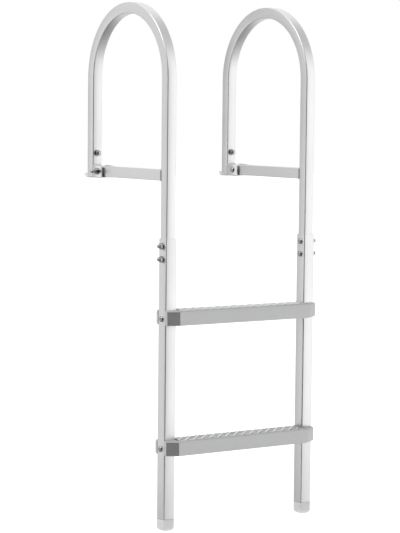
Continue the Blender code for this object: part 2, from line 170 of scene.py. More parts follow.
def is_closed(piece):
    """True if every edge of the piece joins exactly two faces."""
    mesh = bmesh.new()
    mesh.from_mesh(piece.data)
    closed = all(edge.is_manifold for edge in mesh.edges)
    mesh.free()
    return closed


def dress(piece, finish, *nodes, smooth_angle=30):
    """Smooths and paints a finished piece, and puts it on the ladder in place of its measured nodes."""
    to_object_mode()
    bpy.ops.object.select_all(action="DESELECT")
    piece.select_set(True)
    bpy.context.view_layer.objects.active = piece
    bpy.ops.object.shade_smooth_by_angle(angle=radians(smooth_angle))
    if not piece.data.materials:
        piece.data.materials.append(finish["material"])
    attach(piece, "root")
    if nodes:
        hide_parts(*nodes)
    print(piece.name, len(piece.data.polygons), "faces", "closed" if is_closed(piece) else "OPEN")


# %% [markdown]
# ## The finishes
# A finish is a small network of shader nodes. Two effects turn up in several finishes, so each is built once
# as a node group: the fine lines that drawing a tube through its die leaves, and the faint cloudiness of a
# surface that has been handled. Both are only masks; the colours and the gloss stay in each material.

# %% Building blocks for node networks
def new_group(name, inputs):
    """An empty shader node group with number or vector inputs and one output, a mask."""
    group = bpy.data.node_groups.new(name, "ShaderNodeTree")
    for socket, (kind, value) in inputs.items():
        made = group.interface.new_socket(socket, in_out="INPUT", socket_type=kind)
        if value is not None:
            made.default_value = value
    group.interface.new_socket("Mask", in_out="OUTPUT", socket_type="NodeSocketFloat")
    return group, group.nodes.new("NodeGroupInput"), group.nodes.new("NodeGroupOutput")


def add_node(tree, kind, **settings):
    """A new node, with its properties or unlinked inputs set by name."""
    node = tree.nodes.new(kind)
    for name, value in settings.items():
        socket = name.replace("_", " ").title()
        if hasattr(node, name):
            setattr(node, name, value)
        else:
            node.inputs[socket].default_value = value
    return node


def remap(tree, value, low, high, to_low, to_high):
    """Stretches a mask between two values to run between two others."""
    node = add_node(tree, "ShaderNodeMapRange")
    for socket, number in (("From Min", low), ("From Max", high), ("To Min", to_low), ("To Max", to_high)):
        node.inputs[socket].default_value = number
    tree.links.new(value, node.inputs["Value"])
    return node.outputs["Result"]


def blend(tree, mask, first, second):
    """A colour that goes from the first to the second as the mask goes from 0 to 1."""
    node = add_node(tree, "ShaderNodeMix", data_type="RGBA")
    for socket, colour in ((6, first), (7, second)):
        if isinstance(colour, bpy.types.NodeSocket):
            tree.links.new(colour, node.inputs[socket])
        else:
            node.inputs[socket].default_value = (*colour, 1)
    tree.links.new(mask, node.inputs[0])
    return node.outputs[2]


# %% The two shared effects
def drawn_lines_group():
    """Fine lines: noise that is stretched along one direction of the vector it is given."""
    group, entry, out = new_group("drawn_lines", {"Vector": ("NodeSocketVector", None),
                                                  "Lines Per Metre": ("NodeSocketFloat", 1500.0)})
    noise = add_node(group, "ShaderNodeTexNoise", detail=3.0, roughness=0.6)
    group.links.new(entry.outputs["Vector"], noise.inputs["Vector"])
    group.links.new(entry.outputs["Lines Per Metre"], noise.inputs["Scale"])
    group.links.new(noise.outputs["Fac"], out.inputs["Mask"])
    return group


def handling_group():
    """Soft clouds broken up by fine grain, as of a surface that hands and cloths have touched."""
    group, entry, out = new_group("handling", {"Vector": ("NodeSocketVector", None),
                                               "Clouds": ("NodeSocketFloat", 14.0),
                                               "Grain": ("NodeSocketFloat", 900.0)})
    clouds = add_node(group, "ShaderNodeTexNoise", detail=4.0)
    grain = add_node(group, "ShaderNodeTexNoise", detail=2.0)
    for noise, scale in ((clouds, "Clouds"), (grain, "Grain")):
        group.links.new(entry.outputs["Vector"], noise.inputs["Vector"])
        group.links.new(entry.outputs[scale], noise.inputs["Scale"])
    total = add_node(group, "ShaderNodeMath", operation="MULTIPLY_ADD")
    total.inputs[1].default_value = 0.3
    group.links.new(grain.outputs["Fac"], total.inputs[0])
    group.links.new(clouds.outputs["Fac"], total.inputs[2])
    group.links.new(total.outputs["Value"], out.inputs["Mask"])
    return group


DRAWN_LINES = drawn_lines_group()
HANDLING = handling_group()


def new_finish(name, slot):
    """A material with its shader and its object coordinates, ready to be linked up."""
    material = bpy.data.materials.new(name)
    material.use_nodes = True
    tree = material.node_tree
    shader = tree.nodes["Principled BSDF"]
    place = add_node(tree, "ShaderNodeTexCoord").outputs["Object"]
    return {"material": material, "slot": slot, "tree": tree, "shader": shader, "place": place}


def add_effect(finish, group, vector=None, **values):
    """Places a shared effect in a finish and returns its mask."""
    tree = finish["tree"]
    node = tree.nodes.new("ShaderNodeGroup")
    node.node_tree = group
    tree.links.new(vector or finish["place"], node.inputs["Vector"])
    for name, value in values.items():
        node.inputs[name.replace("_", " ").title()].default_value = value
    return node.outputs["Mask"]


def feed(finish, socket, value):
    """Links a value to one input of the finish's shader."""
    finish["tree"].links.new(value, finish["shader"].inputs[socket])


def add_bump(finish, height, depth, strength=1.0):
    """Turns a height mask into a bump whose full depth is in metres."""
    bump = add_node(finish["tree"], "ShaderNodeBump", strength=strength, distance=depth)
    finish["tree"].links.new(height, bump.inputs["Height"])
    feed(finish, "Normal", bump.outputs["Normal"])


# %% [markdown]
# ### Anodised tube
# Anodised aluminium is a satin metal. Its draw lines run along the tube, so the coordinates are squeezed
# along its length. On the bent handrail they have to follow the arch: there the second coordinate is the
# distance from the arch's centre line, worked out as a distance from the line that the arch springs from,
# which stays true on the straight legs as well.

# %% Anodised tube
def combine(tree, x, y, z):
    """A vector from three numbers or linked values."""
    node = add_node(tree, "ShaderNodeCombineXYZ")
    for socket, value in zip("XYZ", (x, y, z)):
        if isinstance(value, bpy.types.NodeSocket):
            tree.links.new(value, node.inputs[socket])
        else:
            node.inputs[socket].default_value = value
    return node.outputs["Vector"]


def maths(tree, operation, first, second):
    """One sum on two numbers or linked values."""
    node = add_node(tree, "ShaderNodeMath", operation=operation)
    for index, value in enumerate((first, second)):
        if isinstance(value, bpy.types.NodeSocket):
            tree.links.new(value, node.inputs[index])
        else:
            node.inputs[index].default_value = value
    return node.outputs["Value"]


def across_the_bend(finish):
    """Coordinates that change only across the handrail's tube, never along it."""
    tree = finish["tree"]
    split = add_node(tree, "ShaderNodeSeparateXYZ")
    tree.links.new(finish["place"], split.inputs["Vector"])
    sideways = maths(tree, "SUBTRACT", split.outputs["Y"], ARCH_MIDDLE)
    upwards = maths(tree, "MAXIMUM", maths(tree, "SUBTRACT", split.outputs["Z"], ARCH_SPRING), 0.0)
    squares = maths(tree, "ADD", maths(tree, "MULTIPLY", sideways, sideways),
                    maths(tree, "MULTIPLY", upwards, upwards))
    radius = maths(tree, "SQRT", squares, 0.0)
    along = maths(tree, "MULTIPLY", split.outputs["Z"], 0.02)
    return combine(tree, split.outputs["X"], radius, along)


def squeezed_along(finish, axis):
    """Coordinates that change fully across a straight piece and hardly along the axis."""
    mapping = add_node(finish["tree"], "ShaderNodeMapping")
    mapping.inputs["Scale"].default_value = [0.02 if letter == axis else 1.0 for letter in "XYZ"]
    finish["tree"].links.new(finish["place"], mapping.inputs["Vector"])
    return mapping.outputs["Vector"]


def anodised(name, vector_of):
    """Satin aluminium whose draw lines follow the given coordinates."""
    finish = new_finish(name, "anodised_aluminium")
    tree = finish["tree"]
    lines = add_effect(finish, DRAWN_LINES, vector_of(finish), lines_per_metre=1700.0)
    clouds = add_effect(finish, HANDLING, clouds=9.0, grain=1400.0)
    tone = maths(tree, "ADD", maths(tree, "MULTIPLY", lines, 0.45), maths(tree, "MULTIPLY", clouds, 0.55))
    feed(finish, "Base Color", blend(tree, remap(tree, tone, 0.3, 0.8, 0.0, 1.0),
                                     (0.790, 0.790, 0.790), (0.885, 0.885, 0.885)))
    feed(finish, "Roughness", remap(tree, tone, 0.3, 0.8, 0.30, 0.46))
    finish["shader"].inputs["Metallic"].default_value = 1.0
    add_bump(finish, lines, 0.00004, 0.6)
    return finish


BENT_TUBE = anodised("anodised_bent_tube", across_the_bend)
UPRIGHT_TUBE = anodised("anodised_upright_tube", lambda finish: squeezed_along(finish, "Z"))
LEVEL_TUBE = anodised("anodised_level_tube", lambda finish: squeezed_along(finish, "Y"))

# %% [markdown]
# ### Weld, tread, steel and plastic
# The weld is the same metal without its anodising: duller and rougher. The treads are coated grey; the field
# between the grip bars is painted dark as painted shade, and the grip bars are painted bright as a painted
# highlight. The fasteners are polished stainless steel, and the brackets are the same steel with a brushed
# face. The plastics are moulded, so they only have a fine leathery grain.

# %% Weld, tread, steel and plastic
def mottled(name, slot, dark, light, roughness, metallic, clouds=20.0, grain=900.0, depth=0.00002):
    """A finish whose colour and gloss wander between two values, with a fine grain."""
    finish = new_finish(name, slot)
    tree = finish["tree"]
    mask = remap(tree, add_effect(finish, HANDLING, clouds=clouds, grain=grain), 0.4, 0.9, 0.0, 1.0)
    feed(finish, "Base Color", blend(tree, mask, dark, light))
    feed(finish, "Roughness", remap(tree, mask, 0.0, 1.0, *roughness))
    finish["shader"].inputs["Metallic"].default_value = metallic
    add_bump(finish, mask, depth)
    return finish


WELD = mottled("weld_metal", "anodised_aluminium", (0.56, 0.57, 0.58), (0.74, 0.75, 0.76), (0.42, 0.6), 1.0,
               clouds=260.0, grain=2500.0, depth=0.00015)
TREAD_COAT = mottled("tread_coat", "tread_coating", (0.500, 0.502, 0.505), (0.550, 0.552, 0.555),
                     (0.42, 0.55), 0.35, clouds=16.0, grain=1600.0, depth=0.00004)
# Painted shade: the field between the grip bars gets a dark, dull coat that stands in for the shade there.
WELL_PAINTED_SHADE = mottled("tread_well_painted_shade", "tread_coating", (0.150, 0.150, 0.152), (0.210, 0.210, 0.212),
                     (0.62, 0.78), 0.0, clouds=40.0, grain=1600.0, depth=0.00006)
WELL_PAINTED_SHADE["shader"].inputs["Specular IOR Level"].default_value = 0.05
# Painted highlight: the grip bars are painted bright, standing in for the glints on them.
GRIP_PAINTED_HIGHLIGHT = mottled("grip_painted_highlight", "tread_coating", (0.82, 0.83, 0.84), (0.92, 0.93, 0.94), (0.28, 0.42), 0.7,
                   clouds=60.0, grain=1800.0, depth=0.00006)
POLISHED = mottled("polished_stainless", "stainless_steel", (0.38, 0.38, 0.39), (0.48, 0.48, 0.49),
                   (0.07, 0.14), 1.0, clouds=60.0, grain=1500.0, depth=0.00001)
DARK_MOULDING = mottled("dark_moulding", "dark_plastic", (0.160, 0.160, 0.162), (0.200, 0.200, 0.202),
                        (0.5, 0.62), 0.0, clouds=40.0, grain=2600.0, depth=0.00005)
PALE_MOULDING = mottled("pale_moulding", "pale_plastic", (0.55, 0.555, 0.56), (0.63, 0.635, 0.64),
                        (0.42, 0.55), 0.0, clouds=30.0, grain=2600.0, depth=0.00005)


def brushed_plate():
    """Stainless sheet with a brushed face; the brush ran along the bracket."""
    finish = new_finish("brushed_stainless", "stainless_steel")
    tree = finish["tree"]
    lines = add_effect(finish, DRAWN_LINES, squeezed_along(finish, "Y"), lines_per_metre=2600.0)
    clouds = add_effect(finish, HANDLING, clouds=35.0, grain=1200.0)
    tone = remap(tree, maths(tree, "ADD", lines, clouds), 0.8, 1.4, 0.0, 1.0)
    feed(finish, "Base Color", blend(tree, tone, (0.84, 0.84, 0.84), (0.95, 0.95, 0.95)))
    feed(finish, "Roughness", remap(tree, tone, 0.0, 1.0, 0.2, 0.36))
    finish["shader"].inputs["Metallic"].default_value = 1.0
    add_bump(finish, lines, 0.00003, 0.6)
    return finish


BRUSHED = brushed_plate()

# %% [markdown]
# ## The tubes
# A square tube is a square with round corners and a square hole, pushed along its path. The square starts as
# a plane. Bevelling its four corner points rounds them, an inset draws the hole's edge, and deleting the
# inner face leaves a flat ring. Extruding the ring makes a straight tube with real walls, and spinning it
# makes a bend, so the inside of the tube is there wherever an end is open.

# %% Square tubes
CORNER_STEPS = 5


def tube_section(name, place, turn, width, corner, wall):
    """A flat square ring with round corners, all selected, ready to be pushed along a path."""
    piece = begin(bpy.ops.mesh.primitive_plane_add, name, size=width, location=place, rotation=turn)
    bpy.ops.mesh.bevel(offset=corner, segments=CORNER_STEPS, affect="VERTICES")
    bpy.ops.mesh.select_all(action="SELECT")
    bpy.ops.mesh.inset(thickness=wall)
    bpy.ops.mesh.delete(type="FACE")
    bpy.ops.mesh.select_mode(type="FACE")
    bpy.ops.mesh.select_all(action="SELECT")
    return piece


def close_up(piece):
    """Joins doubled points and turns every face outwards."""
    bpy.ops.mesh.select_all(action="SELECT")
    bpy.ops.mesh.remove_doubles(threshold=0.00001)
    bpy.ops.mesh.normals_make_consistent(inside=False)
    bpy.ops.object.mode_set(mode="OBJECT")


UPPER_WALL = 0.0016
UPPER_CORNER = 0.0025
LOWER_WALL = 0.0020
LOWER_CORNER = 0.0030
LOWER_EDGE = 0.0004
ARCH_STEPS = 72


def handrail(side, x):
    """Rear leg up, half-round arch, front leg down into the lower rail."""
    node = side + "_handrail"
    piece = tube_section(node + "_tube", (x, REAR_Y, LEG_END), (0, 0, 0), TUBE, UPPER_CORNER, UPPER_WALL)
    extrude((0, 0, ARCH_SPRING - LEG_END))
    bpy.ops.mesh.spin(steps=ARCH_STEPS, angle=pi, center=(x, ARCH_MIDDLE, ARCH_SPRING), axis=(-1, 0, 0))
    extrude((0, 0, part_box(node)[0].z - ARCH_SPRING))
    close_up(piece)
    dress(piece, BENT_TUBE, node)


def lower_rail(side, x):
    """The larger tube, whose open top shows the handrail going in."""
    node = side + "_lower_rail"
    low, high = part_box(node)
    piece = tube_section(node + "_tube", (x, FRONT_Y, low.z), (0, 0, 0), LOWER_TUBE, LOWER_CORNER, LOWER_WALL)
    extrude((0, 0, high.z - low.z))
    close_up(piece)
    soften(piece, LOWER_EDGE)
    dress(piece, UPRIGHT_TUBE, node)


def crossbar(side, x):
    """The level tube between the two legs."""
    node = side + "_crossbar"
    low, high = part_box(node)
    place = (x, low.y, (low.z + high.z) / 2)
    piece = tube_section(node + "_tube", place, (pi / 2, 0, 0), TUBE, UPPER_CORNER, UPPER_WALL)
    extrude((0, high.y - low.y, 0))
    close_up(piece)
    dress(piece, LEVEL_TUBE, node)


for side, sign in SIDES.items():
    handrail(side, sign * RAIL_X)
    lower_rail(side, sign * RAIL_X)
    crossbar(side, sign * RAIL_X)

# %% [markdown]
# ## The weld beads
# Where the crossbar meets a leg, a weld runs round the joint. A weld cools in scales, one for each time the
# wire is dipped. The bead follows the outline of the tube, so the outline is drawn as a plane with round
# corners, turned into a curve, and given thickness. Every second ring is then swollen a little, which leaves
# the row of scales.

# %% Weld beads
BEAD_RADIUS = 0.0016
BEAD_SCALE = 0.0011
BEAD_SIDES = 8
BEAD_SWELL = 0.16


def weld_bead(name, x, y):
    """A scaled bead round the end of a crossbar."""
    height = (BAR_LOW.z + BAR_HIGH.z) / 2
    piece = begin(bpy.ops.mesh.primitive_plane_add, name, size=TUBE, location=(x, y, height),
                  rotation=(pi / 2, 0, 0))
    bpy.ops.mesh.bevel(offset=UPPER_CORNER, segments=3, affect="VERTICES")
    bpy.ops.mesh.select_all(action="SELECT")
    bpy.ops.mesh.delete(type="ONLY_FACE")
    flat_run = TUBE - 2 * UPPER_CORNER
    pick(piece, "EDGE", lambda edge: edge.calc_length() > flat_run * 0.9)
    bpy.ops.mesh.subdivide(number_cuts=int(flat_run / BEAD_SCALE))
    bpy.ops.object.mode_set(mode="OBJECT")
    bpy.ops.object.convert(target="CURVE")
    piece = bpy.context.object
    piece.data.bevel_depth = BEAD_RADIUS
    piece.data.bevel_resolution = BEAD_SIDES // 2 - 2
    bpy.ops.object.convert(target="MESH")
    piece = bpy.context.object
    bpy.ops.object.mode_set(mode="EDIT")
    pick(piece, "VERT", lambda vert: vert.index // BEAD_SIDES % 2 == 0)
    bpy.ops.transform.shrink_fatten(value=BEAD_RADIUS * BEAD_SWELL)
    close_up(piece)
    dress(piece, WELD, smooth_angle=80)


for side, sign in SIDES.items():
    weld_bead(side + "_front_weld", sign * RAIL_X, BAR_LOW.y)
    weld_bead(side + "_rear_weld", sign * RAIL_X, BAR_HIGH.y)

# %% [markdown]
# ## Caps and plugs
# The caps are pushed into the tubes' ends. A cap is a section that is extruded up its own height, and then
# again, narrower, as the spigot that grips inside the tube. The foot's end is a dome: the section is scaled
# down step by step along a quarter circle.

# %% Caps and plugs
FOOT_ROUND = 0.009
DOME_STEPS = 6
DOME_SPAN = 0.94 * pi / 2


def tube_cap(name, node, x, y, width, corner, wall, plate_top, dome, finish):
    """A cap below a tube's end, with its spigot inside the tube."""
    low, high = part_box(node)
    piece = begin(bpy.ops.mesh.primitive_plane_add, name, size=width, location=(x, y, plate_top))
    bpy.ops.mesh.bevel(offset=corner, segments=CORNER_STEPS, affect="VERTICES")
    bpy.ops.mesh.select_all(action="SELECT")
    spigot = 1 - 2 * (wall + FIT_GAP) / width
    extrude((0, 0, 0))
    scale_section(spigot, (x, y, plate_top))
    extrude((0, 0, high.z - plate_top))
    pick(piece, "FACE", lambda face: abs(middle(face).z - plate_top) < NEAR and len(face.verts) > 4)
    extrude((0, 0, low.z + dome - plate_top))
    reach, depth = 1.0, 0.0
    steps = DOME_STEPS if dome else 0
    for step in range(1, steps + 1):
        angle = step * DOME_SPAN / DOME_STEPS
        next_reach = 1 - 2 * dome * (1 - cos(angle)) / width
        next_depth = dome * sin(angle) / sin(DOME_SPAN)
        extrude((0, 0, depth - next_depth))
        scale_section(next_reach / reach, (x, y, low.z))
        reach, depth = next_reach, next_depth
    close_up(piece)
    dress(piece, finish, node, smooth_angle=40)


for side, sign in SIDES.items():
    foot = side + "_foot_cap"
    tube_cap(foot + "_moulding", foot, sign * RAIL_X, FRONT_Y, LOWER_TUBE, LOWER_CORNER, LOWER_WALL,
             RAIL_LOW.z - FIT_GAP, FOOT_ROUND, PALE_MOULDING)
    plug = side + "_leg_plug"
    tube_cap(plug + "_moulding", plug, sign * RAIL_X, REAR_Y, TUBE, UPPER_CORNER, UPPER_WALL,
             LEG_END - FIT_GAP, 0.0, PALE_MOULDING)

# %% [markdown]
# ## The treads
# A tread is an upside-down channel with solid ends that are notched round the rails. It starts as a cube of
# the tread's outer size. Slanted bisections take off its two front corners, bevels round its long edges, and
# Boolean cuts open the notches, the channel underneath and the recess for the dark corner insert.

# %% Tread bodies
TREAD_CORNER = (0.0265, 0.0155)
TREAD_WALL = 0.0035
TREAD_END = 0.010
TREAD_TOP = 0.004
REAR_ROUND = 0.0065
FRONT_ROUND = 0.0045
END_ROUND = 0.0045
TREAD_EDGE = 0.0005
RECESS_PAST = 0.004


def block(name, low, high):
    """A plain box between two corners, as a tool for cutting."""
    low, high = Vector(low), Vector(high)
    centre = (low + high) / 2
    piece = begin(bpy.ops.mesh.primitive_cube_add, name, size=1, location=centre)
    bpy.ops.transform.resize(value=high - low, center_override=tuple(centre))
    bpy.ops.object.mode_set(mode="OBJECT")
    return piece


def tread_body(level):
    """The tread without its grip pattern."""
    node = level + "_tread"
    low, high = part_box(node)
    piece = block(node + "_body", low, high)
    bpy.ops.object.mode_set(mode="EDIT")
    across, back = TREAD_CORNER
    for sign in SIDES.values():
        bpy.ops.mesh.select_all(action="SELECT")
        corner = Vector((sign * (high.x - across), low.y, 0))
        bpy.ops.mesh.bisect(plane_co=corner, plane_no=(sign * back, -across, 0), use_fill=True,
                            clear_outer=True)
    pick(piece, "EDGE", lambda edge: middle(edge).y > high.y - NEAR and abs(middle(edge).x) < NEAR)
    bpy.ops.mesh.bevel(offset=REAR_ROUND, segments=7, affect="EDGES")
    pick(piece, "EDGE", lambda edge: middle(edge).z > high.z - NEAR
         and middle(edge).y < low.y + back - NEAR)
    bpy.ops.mesh.bevel(offset=FRONT_ROUND, segments=6, affect="EDGES")
    pick(piece, "EDGE", lambda edge: middle(edge).z < low.z + NEAR and middle(edge).x > high.x - across
         and middle(edge).y < low.y + back + NEAR)
    bpy.ops.mesh.bevel(offset=END_ROUND, segments=5, affect="EDGES")
    notch = LOWER_TUBE / 2 + FIT_GAP
    inner = RAIL_X - notch
    for sign in SIDES.values():
        near, far = sorted((sign * inner, sign * (high.x + CUT_PAST)))
        carve(piece, block("notch", (near, -notch, low.z - CUT_PAST), (far, notch, high.z + CUT_PAST)))
    channel = inner - TREAD_END
    carve(piece, block("channel", (-channel, low.y + TREAD_WALL, low.z - CUT_PAST),
                       (channel, high.y - TREAD_WALL, high.z - TREAD_TOP)))
    carve(piece, cap_recess(level))
    soften(piece, TREAD_EDGE)
    return piece


def cap_recess(level):
    """A slanted block that clears room for the corner insert, worked out from the insert's own shape."""
    node = level + "_tread_corner_cap"
    points = [vertex.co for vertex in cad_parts[node].data.vertices]
    low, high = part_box(node)
    across, back = TREAD_CORNER
    run = Vector((across, -back, 0)).normalized()
    out = Vector((-back, -across, 0)).normalized()
    centre = (low + high) / 2
    widths = [(point - centre).dot(run) for point in points]
    depths = [(point - centre).dot(out) for point in points]
    tool = block("recess", (min(widths) - FIT_GAP, min(depths) - FIT_GAP, low.z - CUT_PAST - centre.z),
                 (max(widths) + FIT_GAP, max(depths) + RECESS_PAST, high.z + FIT_GAP - centre.z))
    basis = Matrix((run, out, Vector((0, 0, 1)))).transposed().to_4x4()
    tool.data.transform(Matrix.Translation(centre) @ basis)
    tool.data.flip_normals()
    return tool


# %% [markdown]
# The grip is a checker pattern: short bars, each turned a quarter turn from its neighbours. One bar is made
# from a cube, tapered by scaling its top and with its ends drawn in, and then copied over the tread in rows.
# The bars are joined to the tread, but keep their painted highlight, bright against the painted shade.

# %% The grip pattern
GRIP_PITCH = 0.0114
GRIP_ROWS = 4
GRIP_LENGTH = 0.0145
GRIP_WIDTH = 0.0042
GRIP_HEIGHT = 0.0009
GRIP_SINK = 0.0004
GRIP_END_ROUND = 0.42 * GRIP_WIDTH
GRIP_CROWN = (0.86, 0.55, 1)
GRIP_EDGE = 0.0003
GRIP_END = 0.172
PLAIN_FRONT = 0.0085
PLAIN_REAR = 0.0070


def grip_bar():
    """One raised bar, lying along X on z = 0, with sloping sides and drawn-in ends."""
    piece = begin(bpy.ops.mesh.primitive_cube_add, "grip_bar", size=1, location=(0, 0, 0))
    bpy.ops.transform.resize(value=(GRIP_LENGTH, GRIP_WIDTH, GRIP_HEIGHT + GRIP_SINK),
                             center_override=(0, 0, 0))
    bpy.ops.transform.translate(value=(0, 0, (GRIP_HEIGHT - GRIP_SINK) / 2))
    pick(piece, "EDGE", lambda edge: abs(middle(edge).z - (GRIP_HEIGHT - GRIP_SINK) / 2) < NEAR)
    bpy.ops.mesh.bevel(offset=GRIP_END_ROUND, segments=3, affect="EDGES")
    pick(piece, "FACE", lambda face: middle(face).z > GRIP_HEIGHT - NEAR)
    bpy.ops.transform.resize(value=GRIP_CROWN, center_override=(0, 0, GRIP_HEIGHT))
    bpy.ops.mesh.bevel(offset=GRIP_EDGE, segments=2, affect="EDGES")
    bpy.ops.object.mode_set(mode="OBJECT")
    # The whole bar takes the bright painted highlight.
    piece.data.materials.append(GRIP_PAINTED_HIGHLIGHT["material"])
    return piece


def paint_well_shade(piece, level):
    """Paints the field between the bars dark as painted shade, and leaves a plain band along its edges."""
    low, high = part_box(level + "_tread")
    front, back = low.y + PLAIN_FRONT, high.y - PLAIN_REAR
    side = GRIP_END + GRIP_PITCH
    bpy.ops.object.mode_set(mode="EDIT")
    cuts = [((0, front, 0), (0, 1, 0)), ((0, back, 0), (0, 1, 0)),
            ((side, 0, 0), (1, 0, 0)), ((-side, 0, 0), (1, 0, 0))]
    for place, normal in cuts:
        bpy.ops.mesh.select_all(action="SELECT")
        bpy.ops.mesh.bisect(plane_co=place, plane_no=normal)
    pick(piece, "FACE", lambda face: middle(face).z > high.z - NEAR and front < middle(face).y < back
         and abs(middle(face).x) < side)
    # Slot 1 holds the painted shade of the field between the bars.
    piece.active_material_index = 1
    bpy.ops.object.material_slot_assign()
    bpy.ops.object.mode_set(mode="OBJECT")


def add_grip(piece, level, bar):
    """Copies the bar over the tread's top and joins the copies to the tread."""
    low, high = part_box(level + "_tread")
    centre_y = (low.y + PLAIN_FRONT + high.y - PLAIN_REAR) / 2
    columns = int(GRIP_END / GRIP_PITCH)
    copies = []
    for row in range(GRIP_ROWS):
        y = centre_y + (row - (GRIP_ROWS - 1) / 2) * GRIP_PITCH
        for column in range(-columns, columns + 1):
            turn = pi / 4 if (row + column) % 2 == 0 else -pi / 4
            place = Matrix.Translation((column * GRIP_PITCH, y, high.z))
            mesh = bar.data.copy()
            mesh.transform(place @ Matrix.Rotation(turn, 4, "Z"))
            copy = bpy.data.objects.new("bar", mesh)
            bpy.context.collection.objects.link(copy)
            copies.append(copy)
    bpy.ops.object.select_all(action="DESELECT")
    for copy in [*copies, piece]:
        copy.select_set(True)
    bpy.context.view_layer.objects.active = piece
    bpy.ops.object.join()
    print(level, "tread has", len(copies), "grip bars")


bar = grip_bar()
for level in ("upper", "lower"):
    body = tread_body(level)
    body.data.materials.append(TREAD_COAT["material"])
    body.data.materials.append(WELL_PAINTED_SHADE["material"])
    paint_well_shade(body, level)
    add_grip(body, level, bar)
    dress(body, TREAD_COAT, level + "_tread")
    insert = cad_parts[level + "_tread_corner_cap"]
    for material_slot in insert.material_slots:
        material_slot.material = DARK_MOULDING["material"]
bpy.data.objects.remove(bar, do_unlink=True)

# %% [markdown]
# ## The deck brackets
# A bracket is folded from one sheet, so it is modelled as a sheet: a flat plane is extruded by its edges
# into two ears, a tongue and a flared lip. Bevelling the folds gives them a bend radius, and a Solidify
# modifier gives the sheet its thickness at the end, as a press brake would leave it.

# %% Deck brackets
PLATE = 0.003
FOLD_RADIUS = 0.0024
EAR_ROUND = 0.0045
EAR_TO_LEG = 0.0075
EAR_LENGTH = 0.043
LIP_START = 0.002
LIP_RISE = 0.0085
LIP_MARGIN = 0.0012
LIP_TIP = 0.003
PLATE_EDGE = 0.0004
FOLD_ANGLE = 0.3
DECK_HOLE = 0.0065
DECK_HOLE_PITCH = 0.026


def bracket(side, x):
    """A folded bracket: base, two ears, tongue under the leg and lip behind it."""
    node = side + "_bracket"
    low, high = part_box(node)
    half = (high.x - low.x - PLATE) / 2
    ear_rear = REAR_Y - TUBE / 2 - EAR_TO_LEG
    ear_front = ear_rear - EAR_LENGTH
    level = PLATE / 2
    centre = Vector((x, (ear_rear + ear_front) / 2, level))
    piece = begin(bpy.ops.mesh.primitive_plane_add, node + "_plate", size=1, location=centre)
    bpy.ops.transform.resize(value=(half * 2, EAR_LENGTH, 1), center_override=tuple(centre))
    for sign in SIDES.values():
        bpy.ops.mesh.select_all(action="SELECT")
        bpy.ops.mesh.bisect(plane_co=(x + sign * TUBE / 2, 0, 0), plane_no=(1, 0, 0))
    pick(piece, "EDGE", lambda edge: middle(edge).y > ear_rear - NEAR and abs(middle(edge).x - x) < NEAR)
    bend = REAR_Y + TUBE / 2 + LIP_START
    extrude((0, bend - ear_rear, 0))
    extrude((0, high.y - bend - LIP_MARGIN, LIP_RISE))
    pick(piece, "EDGE", lambda edge: abs(abs(middle(edge).x - x) - half) < NEAR)
    extrude((0, 0, high.z - level))
    pick(piece, "VERT", lambda vert: vert.co.z > high.z - NEAR or vert.co.y > high.y - LIP_TIP)
    bpy.ops.mesh.bevel(offset=EAR_ROUND, segments=6, affect="VERTICES")
    pick(piece, "EDGE", lambda edge: len(edge.link_faces) == 2 and edge.calc_face_angle(0) > FOLD_ANGLE)
    bpy.ops.mesh.bevel(offset=FOLD_RADIUS, segments=5, affect="EDGES")
    bpy.ops.mesh.select_all(action="SELECT")
    bpy.ops.mesh.normals_make_consistent(inside=False)
    use_modifier(piece, "SOLIDIFY", thickness=PLATE, offset=0.0, use_even_offset=True)
    soften(piece, PLATE_EDGE, angle=50)
    for sign in SIDES.values():
        place = centre + Vector((0, sign * DECK_HOLE_PITCH / 2, 0))
        tool = begin(bpy.ops.mesh.primitive_cylinder_add, "screw_hole", vertices=32, radius=DECK_HOLE / 2,
                     depth=4 * PLATE, location=place)
        carve(piece, tool)
    dress(piece, BRUSHED, node)


for side, sign in SIDES.items():
    bracket(side, sign * RAIL_X)

# %% [markdown]
# ## The fasteners
# Every joint has a domed bolt, a washer and a lock nut. Each is modelled once, standing on its own axis, and
# then copied to its place. The bolt is one circle pushed and scaled along its axis, so its thread, shank,
# flange and dome are one closed skin.

# %% The bolt
BOLT_RADIUS = 0.004
BOLT_HEAD_RADIUS = 0.00675
BOLT_HEAD_HEIGHT = 0.0055
HEAD_SEAT = 0.97 * BOLT_HEAD_RADIUS
RIM_START = 0.06
RIM_END = 0.26
HEAD_STEPS = 10
THREAD_PITCH = 0.00125
THREAD_DEPTH = 0.0007
ROUND_STEPS = 32


def push(height, radius, state):
    """Extrudes the selected disc to a new height and a new radius; state holds where it is now."""
    extrude((0, 0, height - state["height"]))
    scale_section(radius / state["radius"], (0, 0, height))
    state.update(height=height, radius=radius)


